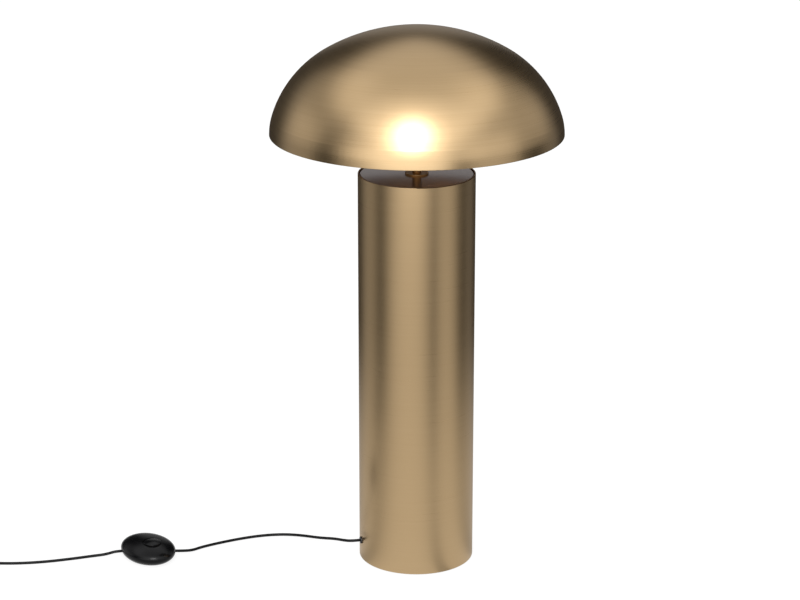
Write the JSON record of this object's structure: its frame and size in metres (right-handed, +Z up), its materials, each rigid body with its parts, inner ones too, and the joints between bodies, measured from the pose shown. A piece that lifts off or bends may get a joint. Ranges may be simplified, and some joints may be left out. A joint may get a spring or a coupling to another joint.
{
  "type": "mushroom floor lamp",
  "caption": "Floor lamp with a straight metal column, a spun dome shade on a short stem, and a lead with a foot switch, a coil and a plug.",
  "frame": {"origin": "on the column's axis, at the underside of the felt pad on the floor", "axes": "+Z up along the column; seen from the front, +X is to the right and +Y leads away; the lead leaves on the left"},
  "size_m": [0.8083, 0.364, 0.685],
  "materials": {
    "column_brass": "satin, fine brushed",
    "shade_brass": "satin, spun",
    "cap_brass": "polished",
    "zinc_steel": "zinc plated",
    "ballast_iron": "rough cast",
    "base_steel": "black, satin",
    "felt": "pressed felt",
    "holder_black": "moulded, satin",
    "switch_black": "gloss",
    "ceramic": "unglazed ceramic",
    "contact_brass": "bright",
    "lead_sheath": "satin",
    "core_brown": "satin",
    "tie_black": "satin",
    "foot_rubber": "matt",
    "opal_glass": "opal white",
    "bulb_white": "satin white",
    "bulb_alu": "bright",
    "insulator_black": "gloss",
    "plug_black": "fine texture",
    "pin_metal": "bright nickel"
  },
  "bodies": {
    "lamp": {"ballast": "ballast_iron", "ballast_bolt": "zinc_steel", "ballast_nut": "zinc_steel", "ballast_washer": "zinc_steel", "base_plate": "base_steel", "base_screws": "zinc_steel", "base_tabs": "column_brass", "bulb_cap": "bulb_alu", "bulb_collar": "bulb_white", "bulb_globe": "opal_glass", "bulb_insulator": "insulator_black", "bulb_tip": "zinc_steel", "button_spring": "zinc_steel", "cable_tie": "tie_black", "cap_grub_screw": "zinc_steel", "centre_contact": "contact_brass", "column_cap": "cap_brass", "column_tube": "column_brass", "cord_grommet": "holder_black", "felt_pad": "felt", "fixed_contacts": "contact_brass", "holder_cap": "holder_black", "holder_cores": "core_brown", "holder_insert": "ceramic", "holder_screws": "zinc_steel", "holder_shell": "holder_black", "holder_terminals": "contact_brass", "inner_lead": "lead_sheath", "lamp_tube": "zinc_steel", "lamp_tube_nuts": "zinc_steel", "lead_clamp_screws": "zinc_steel", "lead_clamps": "holder_black", "lead_coil": "lead_sheath", "lead_from_switch": "lead_sheath", "lead_tail": "lead_sheath", "lead_to_switch": "lead_sheath", "lower_shade_ring": "holder_black", "pin_sleeves": "plug_black", "plug_body": "plug_black", "plug_pins": "pin_metal", "plug_relief": "plug_black", "shade_dome": "shade_brass", "shade_lugs": "shade_brass", "shade_spider": "base_steel", "side_contact": "contact_brass", "spider_screws": "zinc_steel", "stem_flange": "column_brass", "stem_sleeve": "column_brass", "switch_base": "switch_black", "switch_cores": "core_brown", "switch_cover": "switch_black", "switch_feet": "foot_rubber", "switch_screws": "zinc_steel", "switch_terminal_screws": "zinc_steel", "switch_terminals": "contact_brass", "toothed_washer": "zinc_steel", "upper_shade_ring": "holder_black"},
    "button": {"switch_button": "switch_black"},
    "rotor": {"switch_rotor": "ceramic", "contact_bridge": "contact_brass"}
  },
  "joints": [
    {"name": "button_press", "type": "slide", "parent": "lamp", "child": "button", "axis": [0, 0, -1], "range_m": [0, 0.003], "stiffness_N_per_m": 1500, "springref_m": -0.002, "deforming": ["button_spring"]},
    {"name": "rotor_turn", "type": "hinge", "parent": "lamp", "child": "rotor", "pos_m": [-0.33668, -0.02561, 0.0075], "axis": [0, 0, 1], "range_deg": [0, 22.5]}
  ],
  "couplings": [
    {"joint": "rotor_turn", "follows": "button_press", "rad_per_m": 130.89}
  ]
}
